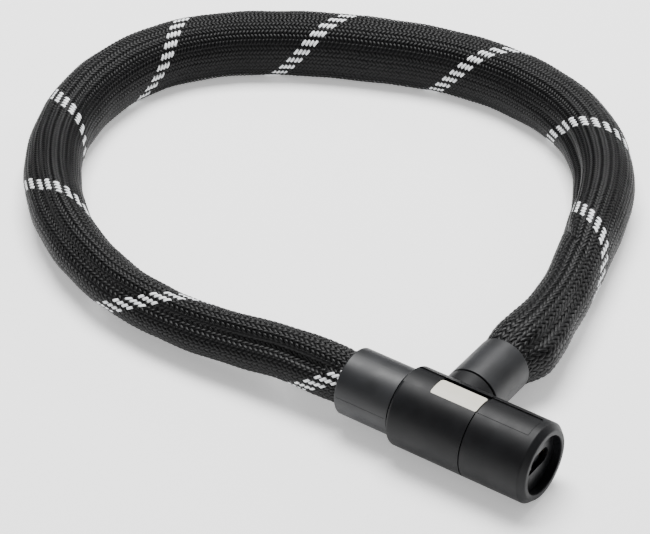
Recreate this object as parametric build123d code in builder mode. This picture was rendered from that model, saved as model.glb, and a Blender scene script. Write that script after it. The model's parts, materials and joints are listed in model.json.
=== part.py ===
from build123d import *
from math import pi, radians, tan
import os

# Chain lock in a braided sleeve: a cylindrical T-shaped lock head, a plug that enters its side,
# and a square-link chain between the two. Millimetres, +Z up, everything lies on Z = 0.
# Head axis along X, key end towards +X; the plug enters along -Y.
# The origin is under the middle of the whole.

os.makedirs("parts", exist_ok=True)

# ---------------------------------------------------------------- driving dimensions
head_radius = 19.5            # outside of both plastic covers
head_place = (133.79, -128.82)  # the head's centre, where its axis crosses the plug's
cover_start, cover_end = -20.0, 19.3
end_cover_start, end_cover_end = 19.9, 53.0
cover_wall = 2.2
cover_rounding = 1.8
cover_clearance = 0.2         # plastic over steel

arm_radius = 13.8             # neck of the main cover and the plug's boot
neck_end, side_boot_start, side_boot_end = 21.6, 22.8, 50.5
fixed_boot_radius = 16.5
fixed_boot_start, fixed_boot_end = 21.2, 50.2

sleeve_radius = 15.0          # outside of the braid, away from the boots
sleeve_wall = 1.25
neck_radius = 12.65           # outside of the braid where a boot grips it
neck_wall = 1.0
neck_grip = 19.0              # length of braid inside a boot
flare_length = 5.8            # from a boot's mouth to the full sleeve
boot_clearance = 0.1

link_bar = 7.0                # square section of the chain
link_bar_rounding = 1.8
link_opening = 8.8            # clear width inside a link
link_corner = 2.6             # inside corner of a link
link_seat = 4.2               # from the end of an opening to the middle of the bar that hangs in it
link_count = 27               # odd, so that both end links lie flat in their anchors
pin_place = 39.5              # head centre to the pins that hold the end links

anchor_radius = 11.3
anchor_shank_radius = 8.0
anchor_slot = 7.5
link_pin_radius = 3.2
running_clearance = 0.05      # radial, on every pin that turns or slides
fit_clearance = 0.1

case_start, case_end = -17.8, 45.4
bolt_radius = 7.0             # the plug's steel pin
bolt_end = -12.0
bolt_nose = 2.0
groove_width, groove_radius = 5.2, 4.3

housing_radius, housing_start, housing_end = 11.0, 20.2, 45.3
drum_radius, drum_bore, drum_start, drum_end = 8.0, 6.6, 20.4, 43.2
drum_wall = 4.0
tail_radius = 3.5
disc_count, disc_thickness, spacer_thickness = 5, 3.0, 0.6
keyway_width, keyway_height = 8.0, 3.0
sidebar_radius = 0.95
front_plate_thickness = 1.9

cam_radius, cam_start, cam_end = 8.4, 15.4, 19.8
cam_web = 1.0                 # closed face of the cam that carries its pin
crank_radius, crank_pin_radius, crank_pin_length = 3.0, 1.5, 3.4
crank_play = 0.2
latch_half_width, latch_start, latch_end = 2.2, 4.7, 14.9
latch_low, latch_high = 5.75, 12.2
latch_travel = crank_radius * 2 ** 0.5

panel_depth, panel_near, panel_far, panel_end = 0.5, 5.7, 8.2, 46.8
label_start, label_half_width, label_thickness = -5.2, 5.6, 0.7
label_pocket_depth = 1.2

recess_radius, recess_floor = 14.4, 48.7
guard_thickness = 2.1
window_length, window_height = 19.0, 8.0
shutter_length, shutter_height, shutter_thickness = 11.0, 8.8, 0.8

# The sleeve's centreline on the floor: corners chosen along the loop, from the fixed boot round to
# the plug's, measured from the head's centre.
floor_drop = sleeve_radius - head_radius
mouth_gap = fixed_boot_end + flare_length
side_mouth_gap = side_boot_end + flare_length
loop_corners = [
    (-84, 0, 0), (-113, -3.5, floor_drop * 0.66), (-148, -7, floor_drop), (-193, -3, floor_drop),
    (-242, 18, floor_drop), (-284, 59, floor_drop), (-306, 112, floor_drop), (-305, 162, floor_drop),
    (-284, 200, floor_drop), (-249, 228, floor_drop), (-209, 248, floor_drop), (-166, 263, floor_drop),
    (-120, 264.5, floor_drop), (-76, 250, floor_drop), (-38, 211, floor_drop), (-17.5, 158, floor_drop),
    (-5, 118, floor_drop * 0.66), (0, 86, 0),
]

# ---------------------------------------------------------------- planes and axes
head_x, head_y = head_place
head_z = head_radius
head_centre = Vector(head_x, head_y, head_z)
head_axis = Axis(head_centre, (1, 0, 0))
arm_axis = Axis(head_centre, (0, 1, 0))
head_profile = Plane(origin=head_centre, x_dir=(1, 0, 0), z_dir=(0, -1, 0))  # local x along the head, y up
arm_profile = Plane(origin=head_centre, x_dir=(0, 1, 0), z_dir=(1, 0, 0))    # local x along the plug, y up


def across(distance):
    """A plane square to the head's axis: local x towards the plug's side, local y up."""
    return Plane(origin=head_centre + Vector(distance, 0, 0), x_dir=(0, 1, 0), z_dir=(1, 0, 0))


def across_arm(distance):
    """A plane square to the plug's axis: local x back along the head, local y up."""
    return Plane(origin=head_centre + Vector(0, distance, 0), x_dir=(-1, 0, 0), z_dir=(0, 1, 0))


def level(height):
    """A level plane at a height above the head's axis: local x along the head."""
    return Plane(origin=head_centre + Vector(0, 0, height))


def save(builder, name):
    """Labels a finished piece and writes it to its own file."""
    builder.part.label = name
    export_step(builder.part, f"parts/{name}.step")


# ---------------------------------------------------------------- covers
def top_band(low_radius, start, end, near, far, corner):
    """A shallow curved block on top of the head, which sinks the panel and the label and makes the label."""
    outer = head_radius + cover_wall
    with BuildPart() as band:
        with BuildSketch(across(start)):
            Circle(outer)
            Circle(low_radius, mode=Mode.SUBTRACT)
        extrude(amount=end - start)
        with BuildSketch(level(0)):
            with Locations(((start + end) / 2, (far - near) / 2)):
                RectangleRounded(end - start, near + far, corner)
        extrude(amount=outer, mode=Mode.INTERSECT)
    return band.part


panel_corner = 1.6
label_corner = 1.5
panel_over_end = 8.0          # the panel runs out through the cover's left end
panel_cut = top_band(head_radius - panel_depth, cover_start - panel_over_end, panel_end,
                     panel_near, panel_far, panel_corner)
label_play = 0.15
pocket_cut = top_band(head_radius - label_pocket_depth, label_start - label_play, cover_end + panel_over_end,
                      panel_near, panel_far, label_corner)

cover_inside = head_radius - cover_wall
case_radius = cover_inside - cover_clearance
neck_room = 3.0               # round the bolt, inside the neck
neck_bore = bolt_radius + neck_room
screw_bite, end_screw_bite = 0.5, 0.5   # how much shorter each screw is than its hole
screw_place, end_screw_place = -1.0, 34.0
screw_head_radius, screw_shank_radius, screw_head_height = 2.6, 1.4, 0.55

with BuildPart() as head_cover:
    with BuildSketch(across(cover_start)):
        Circle(head_radius)
    extrude(amount=cover_end - cover_start)
    fillet(head_cover.edges().group_by(Axis.X)[0], cover_rounding)
    with BuildSketch(across_arm(0)):
        Circle(arm_radius)
    extrude(amount=neck_end)
    with BuildSketch(across(cover_start + cover_wall)):
        Circle(cover_inside)
    extrude(amount=cover_end - cover_start, mode=Mode.SUBTRACT)
    with BuildSketch(across(cover_start)):
        Circle(anchor_radius + fit_clearance)
    extrude(amount=cover_wall, mode=Mode.SUBTRACT)
    with BuildSketch(across_arm(0)):
        Circle(neck_bore)
    extrude(amount=neck_end, mode=Mode.SUBTRACT)
    add(panel_cut, mode=Mode.SUBTRACT)
    add(pocket_cut, mode=Mode.SUBTRACT)
    with BuildSketch(level(0)):
        with Locations((screw_place, 0)):
            Circle(screw_head_radius + fit_clearance)
    extrude(amount=head_radius, mode=Mode.SUBTRACT)
save(head_cover, "head_cover")

shoulder_start, rim_radius, lip_radius = 50.2, 16.9, 15.0
lip_chamfer = 0.5
ledge_radius, ledge_start = 13.4, 46.0
guard_back = recess_floor - guard_thickness
with BuildPart() as end_cover:
    with BuildSketch(head_profile):
        with BuildLine():
            outline = FilletPolyline(
                (end_cover_start, cover_inside), (end_cover_start, head_radius),
                (shoulder_start, head_radius), (end_cover_end, rim_radius),
                (end_cover_end, recess_radius), (guard_back, recess_radius),
                radius=[0, 1.2, 1.0, lip_chamfer],
            )
            Polyline(outline @ 1, (guard_back, ledge_radius), (ledge_start, ledge_radius),
                     (ledge_start, cover_inside), outline @ 0)
        make_face()
    revolve(axis=head_axis)
    add(panel_cut, mode=Mode.SUBTRACT)
    with BuildSketch(level(0)):
        with Locations((end_screw_place, 0)):
            Circle(screw_head_radius + fit_clearance)
    extrude(amount=-head_radius, mode=Mode.SUBTRACT)
save(end_cover, "end_cover")

with BuildPart() as label_plate:
    label_foot = head_radius - label_pocket_depth
    add(top_band(label_foot, label_start, cover_end - label_play,
                 label_half_width, label_half_width, label_corner))
    with BuildSketch(across(label_start)):
        Circle(label_foot + label_thickness)
    extrude(amount=cover_end - label_start, mode=Mode.INTERSECT)
save(label_plate, "label_plate")

gasket_gap = 0.05
with BuildPart() as cover_gasket:
    with BuildSketch(across(cover_end + gasket_gap)):
        Circle(head_radius - panel_depth - label_thickness)
        Circle(cover_inside, mode=Mode.SUBTRACT)
    extrude(amount=end_cover_start - cover_end - 2 * gasket_gap)
save(cover_gasket, "cover_gasket")

# ---------------------------------------------------------------- lock case and its bores
shank_end = -9.2
anchor_lock_pin_place, anchor_lock_pin_radius = -13.4, 2.0
cylinder_pin_place, cylinder_pin_radius, cylinder_pin_low = 30.0, 1.5, 9.2
spring_place, spring_outer, spring_top = 9.0, 2.0, 16.0
channel_half_width, channel_low, channel_play = 6.4, -6.9, 0.35
cam_chamber_play = 0.4
pin_end_gap = 0.3

with BuildPart() as lock_case:
    with BuildSketch(across(case_start)):
        Circle(case_radius)
    extrude(amount=case_end - case_start)
    with BuildSketch(across_arm(bolt_end - fit_clearance)):
        Circle(bolt_radius + running_clearance)
    extrude(amount=case_radius - bolt_end + fit_clearance, mode=Mode.SUBTRACT)
    with BuildSketch(across(case_start)):
        Circle(anchor_shank_radius + running_clearance)
    extrude(amount=shank_end - case_start, mode=Mode.SUBTRACT)
    with BuildSketch(across(housing_start)):
        Circle(housing_radius + running_clearance)
    extrude(amount=case_end - housing_start, mode=Mode.SUBTRACT)
    with BuildSketch(across(latch_end)):
        Circle(cam_radius + cam_chamber_play)
    extrude(amount=housing_start - latch_end, mode=Mode.SUBTRACT)
    channel_start = latch_start - fit_clearance
    with BuildSketch(across(channel_start)):
        with Locations((0, (channel_low + latch_high + channel_play) / 2)):
            Rectangle(2 * channel_half_width, latch_high + channel_play - channel_low)
    extrude(amount=latch_end + channel_play - channel_start, mode=Mode.SUBTRACT)
    with BuildSketch(level(0)):
        with Locations((spring_place, 0)):
            Circle(spring_outer + cam_chamber_play)
    extrude(amount=spring_top + fit_clearance, mode=Mode.SUBTRACT)
    with BuildSketch(level(-case_radius)):
        with Locations((anchor_lock_pin_place, 0)):
            Circle(anchor_lock_pin_radius + running_clearance)
    extrude(amount=2 * case_radius, mode=Mode.SUBTRACT)
    with BuildSketch(level(cylinder_pin_low)):
        with Locations((cylinder_pin_place, 0)):
            Circle(cylinder_pin_radius + running_clearance)
    extrude(amount=case_radius, mode=Mode.SUBTRACT)
    with BuildSketch(level(neck_bore)):
        with Locations((screw_place, 0)):
            Circle(screw_shank_radius + running_clearance)
    extrude(amount=case_radius, mode=Mode.SUBTRACT)
    with BuildSketch(level(-housing_radius)):
        with Locations((end_screw_place, 0)):
            Circle(screw_shank_radius + running_clearance)
    extrude(amount=-case_radius, mode=Mode.SUBTRACT)
save(lock_case, "lock_case")

with BuildPart() as cover_screws:
    for side, place, reach in (
        (1, screw_place, neck_bore + screw_bite), (-1, end_screw_place, housing_radius + end_screw_bite)
    ):
        head_seat = side * (cover_inside + fit_clearance)
        with BuildSketch(level(head_seat)):
            with Locations((place, 0)):
                Circle(screw_head_radius)
        extrude(amount=side * screw_head_height)
        with BuildSketch(level(side * reach)):
            with Locations((place, 0)):
                Circle(screw_shank_radius)
        extrude(amount=head_seat - side * reach)
save(cover_screws, "cover_screws")

with BuildPart() as anchor_lock_pin:
    with BuildSketch(level(pin_end_gap - case_radius)):
        with Locations((anchor_lock_pin_place, 0)):
            Circle(anchor_lock_pin_radius)
    extrude(amount=2 * (case_radius - pin_end_gap))
save(anchor_lock_pin, "anchor_lock_pin")

with BuildPart() as cylinder_pin:
    with BuildSketch(level(cylinder_pin_low + fit_clearance)):
        with Locations((cylinder_pin_place, 0)):
            Circle(cylinder_pin_radius)
    extrude(amount=case_radius - pin_end_gap - cylinder_pin_low)
save(cylinder_pin, "cylinder_pin")

# ---------------------------------------------------------------- anchors that hold the chain's ends
anchor_nose = 1.8             # metal beyond the link pin
slot_clearance = 0.8
pin_inset = 0.9
anchor_length_end = pin_place + link_pin_radius + anchor_nose
slot_start = pin_place - link_seat - link_bar - slot_clearance
pin_half_length = anchor_radius - pin_inset
anchor_chamfer = 0.8

with BuildPart() as fixed_anchor:
    with BuildSketch(across(shank_end - fit_clearance)):
        Circle(anchor_shank_radius)
    extrude(amount=case_start - shank_end - fit_clearance)
    with BuildSketch(across(case_start - fit_clearance)):
        Circle(anchor_radius)
    extrude(amount=case_start - fit_clearance - (-anchor_length_end), dir=(-1, 0, 0))
    chamfer(fixed_anchor.edges().group_by(Axis.X)[0], anchor_chamfer)
    with BuildSketch(across(-slot_start)):
        Rectangle(2 * anchor_radius, anchor_slot)
    extrude(amount=anchor_length_end, dir=(-1, 0, 0), mode=Mode.SUBTRACT)
    with BuildSketch(level(-anchor_radius)):
        with Locations((-pin_place, 0)):
            Circle(link_pin_radius + running_clearance)
        with Locations((anchor_lock_pin_place, 0)):
            Circle(anchor_lock_pin_radius + running_clearance)
    extrude(amount=2 * anchor_radius, mode=Mode.SUBTRACT)
save(fixed_anchor, "fixed_anchor")

with BuildPart() as fixed_link_pin:
    with BuildSketch(level(-pin_half_length)):
        with Locations((-pin_place, 0)):
            Circle(link_pin_radius)
    extrude(amount=2 * pin_half_length)
save(fixed_link_pin, "fixed_link_pin")

with BuildPart() as chain_bolt:
    with BuildSketch(across_arm(bolt_end)):
        Circle(bolt_radius)
    extrude(amount=side_boot_start - bolt_end)
    chamfer(chain_bolt.edges().group_by(Axis.Y)[0], bolt_nose)
    with BuildSketch(across_arm(side_boot_start)):
        Circle(anchor_radius)
    extrude(amount=anchor_length_end - side_boot_start)
    chamfer(chain_bolt.edges().group_by(Axis.Y)[-1], anchor_chamfer)
    with BuildSketch(across_arm(-groove_width / 2)):
        Circle(bolt_radius + fit_clearance)
        Circle(groove_radius, mode=Mode.SUBTRACT)
    extrude(amount=groove_width, mode=Mode.SUBTRACT)
    with BuildSketch(across_arm(slot_start)):
        Rectangle(2 * anchor_radius, anchor_slot)
    extrude(amount=anchor_length_end, mode=Mode.SUBTRACT)
    with BuildSketch(level(-anchor_radius)):
        with Locations((0, pin_place)):
            Circle(link_pin_radius + running_clearance)
    extrude(amount=2 * anchor_radius, mode=Mode.SUBTRACT)
save(chain_bolt, "chain_bolt")

with BuildPart() as side_link_pin:
    with BuildSketch(level(-pin_half_length)):
        with Locations((0, pin_place)):
            Circle(link_pin_radius)
    extrude(amount=2 * pin_half_length)
save(side_link_pin, "side_link_pin")

# ---------------------------------------------------------------- boots and seal
boot_bore = neck_radius + boot_clearance
boot_floor = 1.6
boot_rounding = 0.8


def boot_profile(start, end, radius):
    """The half section of a boot: a tube whose inner end has a floor that sits on the anchor."""
    with BuildSketch() as profile:
        with BuildLine():
            run = FilletPolyline(
                (start, anchor_radius + fit_clearance), (start, radius), (end, radius), (end, boot_bore),
                radius=[boot_rounding / 2, min(boot_rounding, (radius - boot_bore) / 2)],
            )
            Polyline(run @ 1, (start + boot_floor, boot_bore),
                     (start + boot_floor, anchor_radius + fit_clearance), run @ 0)
        make_face()
    return profile.sketch


with BuildPart() as fixed_boot:
    with BuildSketch(Plane(origin=head_centre, x_dir=(-1, 0, 0), z_dir=(0, 1, 0))):
        add(boot_profile(fixed_boot_start, fixed_boot_end, fixed_boot_radius))
    revolve(axis=head_axis)
save(fixed_boot, "fixed_boot")

with BuildPart() as side_boot:
    with BuildSketch(arm_profile):
        add(boot_profile(side_boot_start + fit_clearance, side_boot_end, arm_radius))
    revolve(axis=arm_axis)
save(side_boot, "side_boot")

seal_radius = 12.9
with BuildPart() as bolt_seal:
    with BuildSketch(across_arm(neck_end + 3 * fit_clearance)):
        Circle(seal_radius)
        Circle(bolt_radius + fit_clearance, mode=Mode.SUBTRACT)
    extrude(amount=side_boot_start - neck_end - 4 * fit_clearance)
save(bolt_seal, "bolt_seal")

# ---------------------------------------------------------------- disc cylinder
with BuildPart() as cylinder_housing:
    with BuildSketch(across(housing_start)):
        Circle(housing_radius)
        Circle(drum_radius + running_clearance, mode=Mode.SUBTRACT)
    extrude(amount=housing_end - housing_start)
    with BuildSketch(level(cylinder_pin_low)):
        with Locations((cylinder_pin_place, 0)):
            Circle(cylinder_pin_radius + running_clearance)
    extrude(amount=housing_radius, mode=Mode.SUBTRACT)
save(cylinder_housing, "cylinder_housing")

sidebar_height = drum_radius - sidebar_radius - running_clearance
bar_slot = 2 * (sidebar_radius + running_clearance)
discs_start = drum_start + drum_wall
bar_length = drum_end - discs_start - 2 * fit_clearance
with BuildPart() as key_drum:
    with BuildSketch(across(drum_start)):
        Circle(drum_radius)
    extrude(amount=drum_end - drum_start)
    with BuildSketch(across(discs_start)):
        Circle(drum_bore)
    extrude(amount=drum_end - discs_start, mode=Mode.SUBTRACT)
    with BuildSketch(across(discs_start)):
        with Locations((0, drum_radius / 2)):
            Rectangle(bar_slot, drum_radius + fit_clearance)
    extrude(amount=drum_end - discs_start, mode=Mode.SUBTRACT)
    with BuildSketch(across(cam_start + cam_web + fit_clearance)):
        Circle(tail_radius)
    extrude(amount=drum_start - cam_start - cam_web - fit_clearance)
save(key_drum, "key_drum")


def add_disc_outline(radius):
    """A disc with the keyway and the notch that takes the sidebar."""
    Circle(radius)
    SlotOverall(keyway_width, keyway_height, mode=Mode.SUBTRACT)
    with Locations((0, sidebar_height)):
        Circle(sidebar_radius + fit_clearance, mode=Mode.SUBTRACT)


disc_gap = 0.05
disc_pitch = disc_thickness + spacer_thickness + disc_gap
for number in range(disc_count):
    disc_place = discs_start + disc_gap + number * disc_pitch
    with BuildPart() as disc:
        with BuildSketch(across(disc_place)):
            add_disc_outline(drum_bore - fit_clearance)
        extrude(amount=disc_thickness)
    save(disc, f"detainer_disc_{number + 1}")

with BuildPart() as disc_spacers:
    for number in range(disc_count - 1):
        spacer_place = discs_start + 1.5 * disc_gap + disc_thickness + number * disc_pitch
        with BuildSketch(across(spacer_place)):
            add_disc_outline(drum_bore - fit_clearance)
        extrude(amount=spacer_thickness)
save(disc_spacers, "disc_spacers")

with BuildPart() as sidebar:
    with BuildSketch(across(discs_start + fit_clearance)):
        with Locations((0, sidebar_height)):
            Circle(sidebar_radius)
    extrude(amount=bar_length)
save(sidebar, "sidebar")

keyway_play = 1.0
with BuildPart() as front_plate:
    with BuildSketch(across(drum_end + fit_clearance)):
        Circle(drum_radius)
        SlotOverall(keyway_width + keyway_play, keyway_height + keyway_play, mode=Mode.SUBTRACT)
    extrude(amount=front_plate_thickness)
save(front_plate, "front_plate")

# ---------------------------------------------------------------- cam and latch that lock the plug
crank_y = crank_z = crank_radius / 2 ** 0.5
with BuildPart() as drive_cam:
    with BuildSketch(across(cam_start)):
        Circle(cam_radius)
    extrude(amount=cam_end - cam_start)
    with BuildSketch(across(cam_start + cam_web)):
        Circle(tail_radius + running_clearance)
    extrude(amount=cam_end - cam_start, mode=Mode.SUBTRACT)
    with BuildSketch(across(cam_start - crank_pin_length)):
        with Locations((crank_y, crank_z)):
            Circle(crank_pin_radius)
    extrude(amount=crank_pin_length + cam_web / 2)
save(drive_cam, "drive_cam")

tail_start, tail_low, tail_near, tail_far = 11.4, -2.2, -4.0, 6.0
slot_near, slot_far = 0.0, 4.9
tail_top = latch_low + 1.5    # the tail runs this far up into the latch
with BuildPart() as locking_latch:
    with BuildSketch(across(latch_start)):
        with Locations((0, (latch_low + latch_high) / 2)):
            Rectangle(2 * latch_half_width, latch_high - latch_low)
    extrude(amount=latch_end - latch_start)
    with BuildSketch(across(tail_start)):
        with Locations(((tail_near + tail_far) / 2, (tail_low + tail_top) / 2)):
            Rectangle(tail_far - tail_near, tail_top - tail_low)
        with Locations(((slot_near + slot_far) / 2, crank_z)):
            Rectangle(slot_far - slot_near, 2 * (crank_pin_radius + crank_play), mode=Mode.SUBTRACT)
    extrude(amount=latch_end - tail_start)
save(locking_latch, "locking_latch")


def coil(centre, axis_dir, length, outer_radius, wire_radius, turns):
    """A compression spring made of one round wire on a helix."""
    mean_radius = outer_radius - wire_radius
    rise = length - 2 * wire_radius
    base = Plane(origin=centre + Vector(*axis_dir) * wire_radius, z_dir=axis_dir)
    turn_path = base.location * Helix(pitch=rise / turns, height=rise, radius=mean_radius)
    with BuildPart() as spring:
        with BuildSketch(Plane(origin=turn_path @ 0, z_dir=turn_path % 0)):
            Circle(wire_radius)
        sweep(path=turn_path)
    return spring


spring_gap, latch_wire, latch_turns = 0.05, 0.3, 4
latch_spring = coil(head_centre + Vector(spring_place, 0, latch_high + spring_gap), (0, 0, 1),
                    spring_top - latch_high - spring_gap, spring_outer, latch_wire, latch_turns)
save(latch_spring, "latch_spring")

# ---------------------------------------------------------------- key end
with BuildPart() as key_guard:
    with BuildSketch(across(guard_back)):
        Circle(recess_radius - fit_clearance)
        SlotOverall(window_length, window_height, mode=Mode.SUBTRACT)
    extrude(amount=guard_thickness)
save(key_guard, "key_guard")

shutter_back = case_end + 0.2
shutter_corner = 1.5
nub_place, nub_width, nub_height, nub_rise = -4.2, 1.6, 5.0, 1.6
with BuildPart() as keyhole_shutter:
    with BuildSketch(across(shutter_back)):
        RectangleRounded(shutter_length, shutter_height, shutter_corner)
    extrude(amount=shutter_thickness)
    with BuildSketch(across(shutter_back)):
        with Locations((nub_place, 0)):
            Rectangle(nub_width, nub_height)
    extrude(amount=shutter_thickness + nub_rise)
save(keyhole_shutter, "keyhole_shutter")

return_length, return_outer, return_wire, return_turns = 6.0, 0.45, 0.12, 7
return_place = Vector(shutter_back + shutter_thickness / 2, -shutter_length / 2 - 0.1, 0)
shutter_spring = coil(head_centre + return_place, (0, -1, 0), return_length, return_outer, return_wire,
                      return_turns)
save(shutter_spring, "shutter_spring")

# ---------------------------------------------------------------- route of the chain and its sleeve
fixed_mouth = (-mouth_gap, 0, 0)
side_mouth = (0, side_mouth_gap, 0)
route_points = [head_centre + Vector(*point) for point in [fixed_mouth, *loop_corners, side_mouth]]
arc_share = 0.45              # of the shorter run at each corner
corner_radii = []
for before, corner, after in zip(route_points, route_points[1:], route_points[2:]):
    run_in, run_out = corner - before, after - corner
    half_turn = radians(run_in.get_angle(run_out)) / 2
    corner_radii.append(arc_share * min(run_in.length, run_out.length) / tan(half_turn))
print("corner radii:", [round(radius) for radius in corner_radii])

with BuildLine() as sleeve_route:
    FilletPolyline(*route_points, radius=corner_radii)
sleeve_wire = sleeve_route.wires()[0]

with BuildPart() as sleeve:
    with BuildSketch(Plane(origin=sleeve_wire @ 0, z_dir=sleeve_wire % 0)):
        Circle(sleeve_radius)
        Circle(sleeve_radius - sleeve_wall, mode=Mode.SUBTRACT)
    sweep(path=sleeve_wire)
tube_volume = sleeve.part.volume
ring_area = pi * (sleeve_radius ** 2 - (sleeve_radius - sleeve_wall) ** 2)
print(f"sleeve length {sleeve_wire.length:.1f}, volume / (section x length) "
      f"{tube_volume / (ring_area * sleeve_wire.length):.4f}")


def neck_profile(boot_end):
    """The half section of one end of the sleeve, drawn in from its full size to the boot's grip."""
    mouth = boot_end + flare_length
    with BuildSketch() as profile:
        with BuildLine():
            Polyline(
                (boot_end - neck_grip, neck_radius - neck_wall), (boot_end - neck_grip, neck_radius),
                (boot_end, neck_radius), (mouth, sleeve_radius), (mouth, sleeve_radius - sleeve_wall),
                (boot_end, neck_radius - neck_wall), close=True,
            )
        make_face()
    return profile.sketch


with sleeve:
    with BuildSketch(Plane(origin=head_centre, x_dir=(-1, 0, 0), z_dir=(0, 1, 0))):
        add(neck_profile(fixed_boot_end))
    revolve(axis=head_axis)
    with BuildSketch(arm_profile):
        add(neck_profile(side_boot_end))
    revolve(axis=arm_axis)
save(sleeve, "sleeve")

# ---------------------------------------------------------------- chain
first_pin = head_centre + Vector(-pin_place, 0, 0)
last_pin = head_centre + Vector(0, pin_place, 0)
lead_in = (sleeve_wire @ 0 - first_pin).length
lead_out = (last_pin - sleeve_wire @ 1).length
chain_length = lead_in + sleeve_wire.length + lead_out


def chain_point(distance):
    """The point on the chain's line at a distance from its first pin."""
    if distance <= lead_in:
        return first_pin + (sleeve_wire @ 0 - first_pin).normalized() * distance
    if distance >= lead_in + sleeve_wire.length:
        return last_pin + (sleeve_wire @ 1 - last_pin).normalized() * (chain_length - distance)
    return sleeve_wire.position_at(distance - lead_in, position_mode=PositionMode.LENGTH)


def chain_pivots(opening_length):
    """Pivots of a chain of equal links laid along the line, and how far short of the last pin it ends.
    A flat link turns about the bars that hang in it; an upright link turns about its own end bars."""
    distance, found = 0.0, [first_pin]
    for number in range(link_count):
        span = opening_length + link_bar if number % 2 else opening_length - 2 * link_seat
        reach = span
        for _ in range(4):
            reach += span - (chain_point(distance + reach) - found[-1]).length
        distance += reach
        found.append(chain_point(distance))
    return found, chain_length - distance


link_inside = chain_length / link_count
for _ in range(5):
    pivots, shortfall = chain_pivots(link_inside)
    link_inside += shortfall / link_count
link_half_length, link_half_width = (link_inside + link_bar) / 2, (link_opening + link_bar) / 2
print(f"chain length {chain_length:.1f}, link opening {link_inside:.2f} x {link_opening:.2f}")

for number, (start, end) in enumerate(zip(pivots, pivots[1:])):
    lengthwise = (end - start).normalized()
    sideways = Vector(0, 0, 1).cross(lengthwise).normalized()
    upright = number % 2 == 1
    flat_normal = sideways if upright else lengthwise.cross(sideways)
    link_plane = Plane(origin=(start + end) / 2, x_dir=lengthwise, z_dir=flat_normal)
    with BuildLine(link_plane) as link_path:
        FilletPolyline(
            (0, -link_half_width), (link_half_length, -link_half_width), (link_half_length, link_half_width),
            (-link_half_length, link_half_width), (-link_half_length, -link_half_width),
            close=True, radius=[0] + [link_corner + link_bar / 2] * 4,
        )
    bar_line = link_path.wires()[0]
    with BuildPart() as link:
        with BuildSketch(Plane(origin=bar_line @ 0, x_dir=flat_normal, z_dir=bar_line % 0)):
            RectangleRounded(link_bar, link_bar, link_bar_rounding)
        sweep(path=bar_line)
    save(link, f"link_{number + 1:02d}")
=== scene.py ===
import bpy
import json
import math
import numpy as np
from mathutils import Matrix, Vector


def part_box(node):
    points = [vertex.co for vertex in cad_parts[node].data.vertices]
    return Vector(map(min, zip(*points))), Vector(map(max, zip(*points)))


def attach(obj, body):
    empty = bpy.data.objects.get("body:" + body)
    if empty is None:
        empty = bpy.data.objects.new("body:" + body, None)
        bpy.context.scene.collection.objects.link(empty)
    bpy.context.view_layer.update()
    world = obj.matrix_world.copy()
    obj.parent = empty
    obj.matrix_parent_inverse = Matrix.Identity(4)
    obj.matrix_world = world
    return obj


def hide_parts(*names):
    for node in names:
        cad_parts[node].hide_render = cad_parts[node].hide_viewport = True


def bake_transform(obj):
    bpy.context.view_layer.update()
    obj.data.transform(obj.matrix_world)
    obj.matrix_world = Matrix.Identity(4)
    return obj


# Chain lock in a braided nylon sleeve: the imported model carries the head, the plug and the chain,
# and this script adds the braid, the moulding lines and every finish. Metres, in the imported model's frame.

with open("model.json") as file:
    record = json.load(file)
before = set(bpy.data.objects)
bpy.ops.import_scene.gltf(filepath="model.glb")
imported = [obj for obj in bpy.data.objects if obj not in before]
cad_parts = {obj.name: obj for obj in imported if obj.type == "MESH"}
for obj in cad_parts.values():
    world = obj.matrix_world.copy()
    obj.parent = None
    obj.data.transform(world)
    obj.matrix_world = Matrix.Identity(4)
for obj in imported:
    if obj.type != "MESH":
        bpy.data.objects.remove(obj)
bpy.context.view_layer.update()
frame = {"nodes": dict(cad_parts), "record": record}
nodes = frame["nodes"]
mm = 0.001


def centreOf(node):
    low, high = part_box(node)
    return (low + high) / 2


# The head's axis runs along X through the drum, and the plug's axis along Y through its pin.
headCentre = Vector((centreOf("chain_bolt").x, centreOf("key_drum").y, centreOf("key_drum").z))
print("frame loaded, head centre", [round(v, 4) for v in headCentre])


# Helpers that the finishes share.

def linear(hexColour):
    # sRGB hex to the linear colour that the shader wants
    parts = [int(hexColour[i:i + 2], 16) / 255 for i in (1, 3, 5)]
    return tuple(c / 12.92 if c <= 0.04045 else ((c + 0.055) / 1.055) ** 2.4 for c in parts) + (1.0,)


def addNode(tree, kind, settings=None, links=None, **values):
    # one node: settings are its properties, values its sockets, links go from (node, socket) to a socket
    node = tree.nodes.new(kind)
    for key, value in (settings or {}).items():
        setattr(node, key, value)
    for key, value in values.items():
        node.inputs[key.replace("_", " ")].default_value = value
    for key, (source, socket) in (links or {}).items():
        tree.links.new(source.outputs[socket], node.inputs[key])
    return node


def newMaterial(name, **sockets):
    material = bpy.data.materials.new(name)
    material.use_nodes = True
    tree = material.node_tree
    shader = tree.nodes["Principled BSDF"]
    for key, value in sockets.items():
        shader.inputs[key.replace("_", " ")].default_value = value
    return material, tree, shader


def perMetre(sizeMm):
    # noise and voronoi cells per metre for a pattern of that size
    return 1 / (sizeMm * mm)


def grainBump(tree, shader, grainMm, strength, depthMm):
    # a fine noise as relief, in the object's own space, which is handed back
    place = addNode(tree, "ShaderNodeTexCoord")
    grain = addNode(tree, "ShaderNodeTexNoise", links={"Vector": (place, "Object")},
                    Scale=perMetre(grainMm), Detail=2.0, Roughness=0.6)
    bump = addNode(tree, "ShaderNodeBump", links={"Height": (grain, "Fac")},
                   Strength=strength, Distance=depthMm * mm)
    tree.links.new(bump.outputs["Normal"], shader.inputs["Normal"])
    return place


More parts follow.
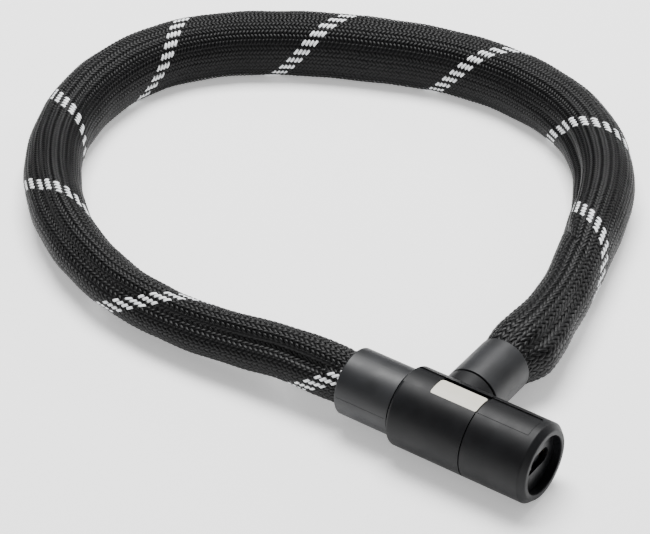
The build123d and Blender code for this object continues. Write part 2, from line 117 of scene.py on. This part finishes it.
def varied(tree, shader, place, sizeMm, low, high, socket):
    # slow drift of a colour or a roughness over the surface
    drift = addNode(tree, "ShaderNodeTexNoise", links={"Vector": (place, "Object")},
                    Scale=perMetre(sizeMm), Detail=3.0, Roughness=0.55)
    ramp = addNode(tree, "ShaderNodeValToRGB", links={"Fac": (drift, "Fac")})
    ramp.color_ramp.elements[0].position = 0.35      # most of the noise lies between these
    ramp.color_ramp.elements[1].position = 0.65
    ramp.color_ramp.elements[0].color = low
    ramp.color_ramp.elements[1].color = high
    tree.links.new(ramp.outputs["Color"], shader.inputs[socket])


def grey(value):
    return (value, value, value, 1.0)


# One function for each way that a surface was made.

def moulded(name, darkHex, lightHex, grainMm, grainStrength, smoothRough, dullRough, shine=0.22):
    # injection moulded plastic: a spark-eroded grain that breaks the highlight, and handled patches that
    # are a little glossier
    material, tree, shader = newMaterial(name, IOR=1.5, Specular_IOR_Level=shine)
    place = grainBump(tree, shader, grainMm, grainStrength, 0.02)
    varied(tree, shader, place, 18, linear(darkHex), linear(lightHex), "Base Color")
    varied(tree, shader, place, 9, grey(smoothRough), grey(dullRough), "Roughness")
    return material


def turnedMetal(name, hexColour, roughness, ringMm):
    # turned or ground metal: fine rings, metallic, default IOR. The wave node counts its rings in radians,
    # so they come 2 pi times ringMm apart.
    material, tree, shader = newMaterial(name, Metallic=1.0, Roughness=roughness, Base_Color=linear(hexColour))
    place = addNode(tree, "ShaderNodeTexCoord")
    rings = addNode(tree, "ShaderNodeTexWave", {"wave_type": "RINGS", "rings_direction": "X"},
                    {"Vector": (place, "Object")}, Scale=perMetre(ringMm) / 20, Distortion=1.5, Detail=2.0)
    bump = addNode(tree, "ShaderNodeBump", links={"Height": (rings, "Fac")}, Strength=0.15, Distance=0.02 * mm)
    tree.links.new(bump.outputs["Normal"], shader.inputs["Normal"])
    return material


def wovenYarn(name, darkHex, lightHex, roughness, sheen):
    # filament yarn: each float catches the light on its own, so its tone comes from the braid, and filaments
    # about 0.12 mm apart run along it as a faint ribbing
    material, tree, shader = newMaterial(name, IOR=1.53, Roughness=roughness, Sheen_Weight=sheen,
                                         Specular_IOR_Level=0.17)
    tone = addNode(tree, "ShaderNodeAttribute", {"attribute_name": "yarnTone"})
    ramp = addNode(tree, "ShaderNodeValToRGB", links={"Fac": (tone, "Fac")})
    ramp.color_ramp.elements[0].color = linear(darkHex)
    ramp.color_ramp.elements[1].color = linear(lightHex)
    tree.links.new(ramp.outputs["Color"], shader.inputs["Base Color"])
    across = addNode(tree, "ShaderNodeUVMap", {"uv_map": "yarn"})
    filaments = addNode(tree, "ShaderNodeTexWave", {"wave_type": "BANDS", "bands_direction": "Y"},
                        {"Vector": (across, "UV")}, Scale=1 / (0.12 * 2 * math.pi), Distortion=2.0, Detail=1.0)
    bump = addNode(tree, "ShaderNodeBump", links={"Height": (filaments, "Fac")},
                   Strength=0.35, Distance=0.04 * mm)
    tree.links.new(bump.outputs["Normal"], shader.inputs["Normal"])
    return material


# ABS with a fine matt grain: near black with a cold cast, soft broad highlights
headPlastic = moulded("mouldedAbsBlack", "#040406", "#07080b", 0.35, 0.5, 0.44, 0.52)
# glass-filled nylon: a little lighter and smoother, so it shows charcoal where the light falls
bootPlastic = moulded("mouldedNylonCharcoal", "#131416", "#1a1b1e", 0.5, 0.35, 0.42, 0.50, 0.4)
# printed polycarbonate plate, left blank: pale, satin
labelPlastic = moulded("satinPolycarbonatePale", "#c9c5b8", "#d3d0c5", 0.8, 0.1, 0.30, 0.36)
# nitrile rubber: black and dull
sealRubber = moulded("mouldedNitrileBlack", "#08080a", "#0c0c0d", 0.4, 0.4, 0.62, 0.72)
# black lacquered steel: deep black with a tighter shine
guardSteel = moulded("lacqueredSteelBlack", "#0a0a0c", "#0f1012", 0.6, 0.2, 0.28, 0.36)
caseSteel = turnedMetal("turnedSteel", "#b4b5b6", 0.32, 0.4)
chainSteel = turnedMetal("zincPlatedSteel", "#a3a49f", 0.38, 1.2)
springSteel = turnedMetal("drawnSpringSteel", "#8d8f92", 0.30, 0.2)
cylinderBrass = turnedMetal("machinedBrass", "#c9a866", 0.28, 0.3)
blackYarn = wovenYarn("braidedNylonBlack", "#010102", "#060607", 0.40, 0.0)
whiteYarn = wovenYarn("reflectivePolyesterWhite", "#dfe2e6", "#f6f7f8", 0.45, 0.1)

finishBySlot = {
    "head_plastic": headPlastic, "boot_plastic": bootPlastic, "label_plastic": labelPlastic,
    "seal_rubber": sealRubber, "guard_steel": guardSteel, "case_steel": caseSteel, "pin_steel": caseSteel,
    "chain_steel": chainSteel, "spring_steel": springSteel, "cylinder_brass": cylinderBrass,
    "sleeve_braid": blackYarn,
}
slotOf = {part["node"]: part["material_slot"] for part in frame["record"]["subparts"]}
for node, slot in slotOf.items():
    mesh = nodes[node].data
    mesh.materials.clear()
    mesh.materials.append(finishBySlot[slot])
print("finishes set on", len(nodes), "carried-over nodes")

# The sleeve's route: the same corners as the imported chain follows, in millimetres from the head's centre.
route = {
    "corners": [
        (-56, 0, 0), (-84, 0, 0), (-113, -3.5, -3), (-148, -7, -4.5), (-193, -3, -4.5), (-242, 18, -4.5),
        (-284, 59, -4.5), (-306, 112, -4.5), (-305, 162, -4.5), (-284, 200, -4.5), (-249, 228, -4.5),
        (-209, 248, -4.5), (-166, 263, -4.5), (-120, 264.5, -4.5), (-76, 250, -4.5), (-38, 211, -4.5),
        (-17.5, 158, -4.5), (-5, 118, -3), (0, 86, 0), (0, 56.3, 0),
    ],
    "inBoot": 16.0,           # how far the sleeve goes on, straight, past each end
    "splitAfter": 341.0,      # the resting half ends here, at the loop's far left
}


def routeLine():
    # points along a smooth NURBS line through the route, with the straight ends inside the boots
    curve = bpy.data.curves.new("routeLine", "CURVE")
    curve.dimensions = "3D"
    spline = curve.splines.new("NURBS")
    spline.points.add(len(route["corners"]) - 1)
    for point, corner in zip(spline.points, route["corners"]):
        point.co = (*(headCentre + Vector(corner) * mm), 1)
    spline.order_u = 3
    spline.use_endpoint_u = True
    spline.resolution_u = 24
    holder = bpy.data.objects.new("routeLine", curve)
    mesh = bpy.data.meshes.new_from_object(holder)
    points = np.array([v.co for v in mesh.vertices])
    bpy.data.objects.remove(holder)
    first = points[0] + np.array((route["inBoot"] * mm, 0, 0))
    last = points[-1] - np.array((0, route["inBoot"] * mm, 0))
    return np.vstack([first, points, last])


line = routeLine()
steps = np.linalg.norm(np.diff(line, axis=0), axis=1)
lineAt = np.concatenate([[0], np.cumsum(steps)]) - route["inBoot"] * mm
lineLength = lineAt[-1] - route["inBoot"] * mm
tangents = np.gradient(line, lineAt, axis=0)
print(f"route length {lineLength:.4f} m")

# The sleeve's section along its length. Each row: distance from the fixed boot's mouth, half width, half
# height, how far it falls in between its lobes, depth and angle of a crease, and shift towards the loop's
# outer side. Angles go from the loop's outer side over the top to its inner side.
sleeve = {
    "sections": [
        (-16, 11.9, 11.9, 0.00, 0.0, 60, 0), (-6, 11.9, 11.9, 0.00, 0.0, 60, 0),
        (6, 12.8, 12.6, 0.02, 2.8, 45, 0), (30, 13.1, 12.9, 0.06, 3.0, 45, 0),
        (70, 13.0, 12.7, 0.10, 1.6, 45, 0), (120, 13.2, 13.0, 0.11, 1.5, 46, -0.2),
        (170, 13.6, 13.8, 0.10, 1.7, 50, -0.8), (215, 14.2, 15.0, 0.05, 1.8, 58, -0.6),
        (270, 14.6, 16.2, 0.02, 0.6, 80, 0.4), (320, 15.2, 16.8, 0.00, 0.0, 90, 1.2),
        (365, 15.8, 17.0, 0.00, 0.0, 90, 1.6), (410, 16.2, 17.0, 0.00, 0.0, 90, 1.0),
        (455, 16.6, 17.2, 0.00, 0.0, 90, 0.3), (550, 15.6, 17.0, 0.00, 0.0, 120, 0.3),
        (600, 15.6, 16.8, 0.00, 0.8, 160, 0.8), (640, 15.6, 16.4, 0.01, 2.6, 158, 1.8),
        (690, 15.0, 15.8, 0.02, 2.8, 156, 1.2), (730, 13.6, 14.8, 0.02, 1.6, 150, 0.2),
        (765, 12.7, 13.8, 0.02, 0.8, 60, -0.4), (795, 13.2, 13.6, 0.03, 2.0, 44, 0.2),
        (815, 15.4, 14.8, 0.04, 3.2, 44, 1.4), (829, 16.2, 15.2, 0.03, 3.0, 44, 1.6),
        (836, 14.0, 13.8, 0.01, 1.2, 44, 0.6),
        (842, 12.4, 12.4, 0.00, 0.0, 44, 0), (856, 11.9, 11.9, 0.00, 0.0, 44, 0),
    ],
    "creaseWidth": 14.0,      # degrees
    "squareness": 2.25,       # 2 is an ellipse
    "floorGap": 0.5,
    "floorGive": 0.08,        # the share of a dip under that gap which is left
    "clothThick": 0.6,        # the cloth's wall, and how far it lies below the yarns
    "clothBelow": 0.45,
    "clothRow": 2.2,          # between its rings, and the points in a ring
    "clothColumns": 64,
    "linkPitch": 32.2,        # the links show as faint swellings under the cloth
    "linkSwell": 0.16,
    "slackWaves": (23.0, 41.0),  # slow waves of slack cloth, as a share of the swelling
    "slackShare": 1.6,
    "swellFrom": 8,           # both begin at this distance and grow over the next
    "swellOver": 20,
}
table = np.array(sleeve["sections"], float)


def hermite(x, y, slope, at):
    # a cubic through the points (x, y) with those slopes, level past both ends
    i = np.clip(np.searchsorted(x, at) - 1, 0, len(x) - 2)
    span = x[i + 1] - x[i]
    t = np.clip((at - x[i]) / span, 0, 1)
    return ((2 * t ** 3 - 3 * t ** 2 + 1) * y[i] + (t ** 3 - 2 * t ** 2 + t) * span * slope[i]
            + (3 * t ** 2 - 2 * t ** 3) * y[i + 1] + (t ** 3 - t ** 2) * span * slope[i + 1])


def smoothTable(column, distance):
    # the section has no corners along its length
    x, y = table[:, 0], table[:, column]
    return hermite(x, y, np.gradient(y, x), distance)


def clothPoint(distance, angle, lift):
    # points on the cloth: distance along the route and lift off the cloth in metres, angle in radians
    centre = np.stack([np.interp(distance, lineAt, line[:, k]) for k in range(3)], -1)
    along = np.stack([np.interp(distance, lineAt, tangents[:, k]) for k in range(3)], -1)
    outer = np.stack([-along[:, 1], along[:, 0], np.zeros(len(along))], -1)
    outer /= np.linalg.norm(outer, axis=1)[:, None]
    along /= np.linalg.norm(along, axis=1)[:, None]
    up = np.cross(along, outer)
    up *= np.sign(up[:, 2:3])
    mmAlong = distance / mm
    halfWidth, halfHeight, fall, creaseDepth, creaseAngle, shift = (smoothTable(k, mmAlong) for k in range(1, 7))
    power = sleeve["squareness"]
    radius = ((np.abs(np.cos(angle)) / halfWidth) ** power
              + (np.abs(np.sin(angle)) / halfHeight) ** power) ** (-1 / power)
    radius = radius * (1 - fall * np.sin(2 * angle) ** 2)
    offCrease = np.degrees(np.angle(np.exp(1j * (angle - np.radians(creaseAngle)))))
    radius = radius - creaseDepth * np.exp(-(offCrease / sleeve["creaseWidth"]) ** 2)
    free = (np.clip((mmAlong - sleeve["swellFrom"]) / sleeve["swellOver"], 0, 1)
            * np.clip((lineLength / mm - mmAlong) / sleeve["swellOver"], 0, 1))
    swell = np.sin(2 * np.pi * mmAlong / sleeve["linkPitch"] + 2 * angle)
    shortWave, longWave = sleeve["slackWaves"]
    slack = np.sin(mmAlong / shortWave + 3 * angle) * np.sin(mmAlong / longWave - angle)
    radius = radius + sleeve["linkSwell"] * free * (swell + sleeve["slackShare"] * slack) + lift / mm
    side = radius * np.cos(angle) + shift
    place = centre + (outer * side[:, None] + up * (radius * np.sin(angle))[:, None]) * mm
    lowest = sleeve["floorGap"] * mm - lift
    under = np.minimum(place[:, 2] - lowest, 0)
    place[:, 2] = np.where(under < 0, lowest + under * sleeve["floorGive"], place[:, 2])
    return place


def newObject(name, points, faces, material):
    mesh = bpy.data.meshes.new(name)
    mesh.from_pydata(points.tolist(), [], faces)
    mesh.materials.append(material)
    mesh.polygons.foreach_set("use_smooth", [True] * len(mesh.polygons))
    mesh.update()
    thing = bpy.data.objects.new(name, mesh)
    bpy.context.scene.collection.objects.link(thing)
    return thing


def gridFaces(rows, columns, closed):
    across = columns if closed else columns - 1
    return [(r * columns + c, r * columns + (c + 1) % columns,
             (r + 1) * columns + (c + 1) % columns, (r + 1) * columns + c)
            for r in range(rows - 1) for c in range(across)]


def clothTube(name, start, end):
    # the cloth under the yarns, which closes the gaps between them: an outer wall, and an inner one that the
    # rings run on into, so that it has its real thickness
    rows, columns = int((end - start) / (sleeve["clothRow"] * mm)), sleeve["clothColumns"]
    along = np.linspace(start, end, rows)
    distance = np.repeat(np.concatenate([along, along[::-1]]), columns)
    angle = np.tile(np.arange(columns) * 2 * np.pi / columns, 2 * rows)
    inside = sleeve["clothBelow"] + sleeve["clothThick"]
    depth = np.repeat([-sleeve["clothBelow"] * mm, -inside * mm], rows * columns)
    faces = gridFaces(2 * rows, columns, True)
    last = (2 * rows - 1) * columns
    faces += [(last + c, last + (c + 1) % columns, (c + 1) % columns, c) for c in range(columns)]
    tube = newObject(name, clothPoint(distance, angle, depth), faces, blackYarn)
    tone = tube.data.attributes.new("yarnTone", "FLOAT", "POINT")
    tone.data.foreach_set("value", np.zeros(len(tube.data.vertices), np.float32))
    return tube


# The braid: 40 carriers each way, two over and two under, so that floats leaning one way and the other
# stand in alternate ribs along the sleeve.
braid = {
    "carriers": 40,
    "floatReach": 0.60,       # half a float's length, in carrier spacings round the sleeve
    "floatHalf": 0.205,       # half its width, in the same
    "rise": 0.66,             # the middle of a float over its ends, mm
    "roundOver": 2.4,         # 2 is a parabola, and more is flatter on top
    "crown": 0.28,            # its middle over its edges, mm
    "endLevel": -0.42,
    "firstRib": 0.25,         # where the ribs start round the sleeve, in carrier spacings
    "wander": 0.02,           # how unevenly the floats lie, in the same, and how unevenly they stand, mm
    "liftWander": 0.035,
    "tones": (0.2, 1),        # from the darkest yarn to the lightest
    "whiteCarriers": 4,
    # where the white carriers cross one side after another of the sleeve, as distance and angle
    "whiteAt": [(-3, 40), (110, 47), (210, 81), (277, 116), (365, 144), (453, 148), (548, 144), (641, 115),
                (733, 78), (884, 60)],
    "seed": 7,
}
whiteAt = np.array(braid["whiteAt"], float)

# Turns of a carrier counted from the first white crossing, against the distance where each crossing comes:
# the cloth is pulled longer in some places and bunched up in others, so a turn takes 75 to 145 mm.
turnsAt = np.arange(len(whiteAt)) - whiteAt[:, 1] / 360
turnSlope = np.gradient(whiteAt[:, 0], turnsAt)


def distanceOf(turns):
    # smooth between the crossings and straight on past the ends, in metres
    inside = hermite(turnsAt, whiteAt[:, 0], turnSlope, turns)
    before = np.minimum(turns - turnsAt[0], 0) * turnSlope[0]
    after = np.maximum(turns - turnsAt[-1], 0) * turnSlope[-1]
    return (inside + before + after) * mm


def buildFloats():
    # one row for each float: its place round the sleeve, its step along, its lean, whether white, its distance
    carriers, half = braid["carriers"], braid["carriers"] // 2
    floats = []
    for lean in (-1, 1):
        column = 2 * np.arange(half) + (0 if lean < 0 else 1) + braid["firstRib"]
        strand = np.arange(-3 * carriers, 12 * carriers)     # past both ends, and what lies there is dropped
        columns, strands = (g.ravel() for g in np.meshgrid(column, strand))
        # a strand leaning one way keeps column + step whole, and one leaning the other column - step
        steps = strands - columns if lean < 0 else columns - carriers + strands
        place = distanceOf(steps / carriers)
        keep = (place > -route["inBoot"] * mm) & (place < lineLength + route["inBoot"] * mm)
        white = (lean < 0) & ((strands + braid["whiteCarriers"] / 2) % carriers < braid["whiteCarriers"])
        floats.append(np.stack([columns, steps, np.full(len(columns), lean), white, place], -1)[keep])
    return np.vstack(floats)


def floatMesh(name, chosen, material):
    # every float is a small crowned leaf whose ends dive under its neighbours
    random = np.random.default_rng(braid["seed"])
    alongAt = np.array([-1, -0.6, 0, 0.6, 1.0])
    acrossAt = np.array([-1, -0.42, 0.42, 1.0])
    a, b = (g.ravel() for g in np.meshgrid(alongAt, acrossAt, indexing="ij"))
    size = len(a)
    columns, steps, lean = (chosen[:, k][:, None] for k in range(3))
    reach, width = braid["floatReach"], braid["floatHalf"]
    jitter = random.normal(0, braid["wander"], (len(chosen), 2))
    column = columns + a * reach + b * width + jitter[:, :1]
    step = steps + lean * (a * reach - b * width) + jitter[:, 1:]
    distance = distanceOf((step / braid["carriers"]).ravel())
    angle = (column * 2 * np.pi / braid["carriers"]).ravel()
    shape = (braid["endLevel"] + braid["rise"] * (1 - np.abs(a) ** braid["roundOver"])
             + braid["crown"] * (1 - b ** 2))
    uneven = random.normal(0, braid["liftWander"], len(chosen))
    lift = np.tile(shape, len(chosen)) * mm + np.repeat(uneven, size) * mm
    points = clothPoint(np.clip(distance, lineAt[0], lineAt[-1]), angle, lift)
    leaf = np.array(gridFaces(len(alongAt), len(acrossAt), False))
    faces = (leaf[None] + np.arange(len(chosen))[:, None, None] * size)
    turned = np.where(chosen[:, 2][:, None, None] < 0, faces, faces[:, :, ::-1]).reshape(-1, 4)
    thing = newObject(name, points, turned.tolist(), material)
    tone = thing.data.attributes.new("yarnTone", "FLOAT", "POINT")
    tones = random.uniform(*braid["tones"], len(chosen))
    tone.data.foreach_set("value", np.repeat(tones, size).astype(np.float32))
    uv = thing.data.uv_layers.new(name="yarn")
    local = np.stack([np.tile(a * 2.0, len(chosen)), np.tile(b * 1.0, len(chosen))], -1)
    uv.data.foreach_set("uv", local[turned.ravel()].astype(np.float32).ravel())
    return thing


allFloats = buildFloats()
isWhite = allFloats[:, 3] > 0.5
floatPlace = allFloats[:, 4]
splitAt = route["splitAfter"] * mm
print("braid floats:", len(allFloats))

# The half of the sleeve by the fixed boot lies still, attached to the head. The other half, from the loop's far
# left on, is baked where it lies and attached to nothing.
halves = {
    "Fixed": (lineAt[0], splitAt, floatPlace < splitAt),
    "Plug": (splitAt, lineAt[-1], floatPlace >= splitAt),
}
for half, (start, end, mine) in halves.items():
    cloth = clothTube("sleeveCloth" + half, start, end)
    yarns = floatMesh("braidYarn" + half, allFloats[mine & ~isWhite], blackYarn)
    dashes = floatMesh("reflectiveYarn" + half, allFloats[mine & isWhite], whiteYarn)
    for piece in (cloth, yarns, dashes):
        if half == "Fixed":
            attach(piece, "lock_head")
        else:
            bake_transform(piece)
    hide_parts("sleeve")
print("sleeve made in two halves")

# Moulding lines: fine raised seams where the moulds of the covers and boots met, in millimetres from the
# head's centre. An angle is round the head's axis from the top, towards the side away from the plug, and for
# the plug's boot round its own axis from the top.
seams = {
    "half": 0.13,
    "coverRadius": 19.5,
    "panelNear": 17.0, "panelFar": -24.9, "panelEnd": 46.8, "panelStart": 20.4, "panelPoints": 15,
    "boot": {"radius": 16.5, "angle": 84, "from": -22.0, "to": -49.0},
    "sideBoot": {"radius": 13.8, "angle": 118, "from": 24.0, "to": 49.5},
}


def seamLine(name, points, node, body):
    # a thin three-sided bead along the points, half sunk in the surface
    curve = bpy.data.curves.new(name, "CURVE")
    curve.dimensions = "3D"
    spline = curve.splines.new("POLY")
    spline.points.add(len(points) - 1)
    for point, place in zip(spline.points, points):
        point.co = (*(headCentre + Vector(place) * mm), 1)
    curve.bevel_depth = seams["half"] * mm
    curve.bevel_resolution = 1
    holder = bpy.data.objects.new(name, curve)
    mesh = bpy.data.meshes.new_from_object(holder)
    bpy.data.objects.remove(holder)
    mesh.name = name
    mesh.materials.clear()
    mesh.materials.append(nodes[node].data.materials[0])
    bead = bpy.data.objects.new(name, mesh)
    bpy.context.scene.collection.objects.link(bead)
    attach(bead, body)


def onHead(along, radius, degrees):
    turn = math.radians(degrees)
    return (along, -radius * math.sin(turn), radius * math.cos(turn))


panelTurn = np.linspace(seams["panelNear"], seams["panelFar"], seams["panelPoints"])
seamLine("seamEndCover",
         [onHead(seams["panelStart"], seams["coverRadius"], seams["panelNear"])]
         + [onHead(seams["panelEnd"], seams["coverRadius"], turn) for turn in panelTurn],
         "end_cover", "lock_head")
bootSeam = seams["boot"]
seamLine("seamFixedBoot", [onHead(x, bootSeam["radius"], bootSeam["angle"])
                           for x in (bootSeam["from"], bootSeam["to"])], "fixed_boot", "lock_head")
armSeam = seams["sideBoot"]
armTurn = math.radians(armSeam["angle"])
seamLine("seamSideBoot", [(armSeam["radius"] * math.sin(armTurn), y, armSeam["radius"] * math.cos(armTurn))
                          for y in (armSeam["from"], armSeam["to"])], "side_boot", "chain_plug")
print("moulding lines made")

# The floor and the light.
studio = {
    "floorHalf": 12.0,
    "floorGlow": 0.42,
    "worldGlow": 0.42,
    "overhead": {"at": (-0.35, 0.45, 1.9), "aim": (0.0, 0.0, 0.0), "size": (1.3, 1.0), "watts": 95},
    "rear": {"at": (0.5, 1.9, 1.0), "aim": (0.1, 0.0, 0.0), "size": (1.2, 0.5), "watts": 10},
}
floorMesh = bpy.data.meshes.new("floor")
reach = studio["floorHalf"]
floorMesh.from_pydata([(-reach, -reach, 0), (reach, -reach, 0), (reach, reach, 0), (-reach, reach, 0)],
                      [], [(0, 1, 2, 3)])
floor = bpy.data.objects.new("floor", floorMesh)
bpy.context.scene.collection.objects.link(floor)
# white studio paper over a light table: dull, and glowing a little
paper, _, _ = newMaterial("whiteStudioPaper", Base_Color=linear("#fbfbfb"), Roughness=0.9,
                         Emission_Color=linear("#ffffff"), Emission_Strength=studio["floorGlow"])
floorMesh.materials.append(paper)

world = bpy.data.worlds.new("studio")
world.use_nodes = True
background = world.node_tree.nodes["Background"]
background.inputs["Color"].default_value = linear("#ffffff")
background.inputs["Strength"].default_value = studio["worldGlow"]
bpy.context.scene.world = world


def softBox(name, which):
    light = bpy.data.lights.new(name, "AREA")
    light.shape = "RECTANGLE"
    light.size, light.size_y = which["size"]
    light.energy = which["watts"]
    box = bpy.data.objects.new(name, light)
    box.location = which["at"]
    box.rotation_mode = "QUATERNION"
    box.rotation_quaternion = (Vector(which["aim"]) - Vector(which["at"])).to_track_quat("-Z", "Y")
    bpy.context.scene.collection.objects.link(box)


softBox("overheadBox", studio["overhead"])
softBox("rearBox", studio["rear"])

# The camera, in millimetres from the head's centre.
eye = {"from": (473.6, -767.4, 763.9), "to": (-126.2, 85.0, -19.5), "lens": 144.0, "sensor": 36.0}
cameraData = bpy.data.cameras.new("camera")
cameraData.lens = eye["lens"]
cameraData.sensor_width = eye["sensor"]
camera = bpy.data.objects.new("camera", cameraData)
camera.location = headCentre + Vector(eye["from"]) * mm
camera.rotation_mode = "QUATERNION"
lookAlong = Vector(eye["to"]) - Vector(eye["from"])
camera.rotation_quaternion = lookAlong.to_track_quat("-Z", "Y")
bpy.context.scene.collection.objects.link(camera)
bpy.context.scene.camera = camera
print("floor, lights and camera set")
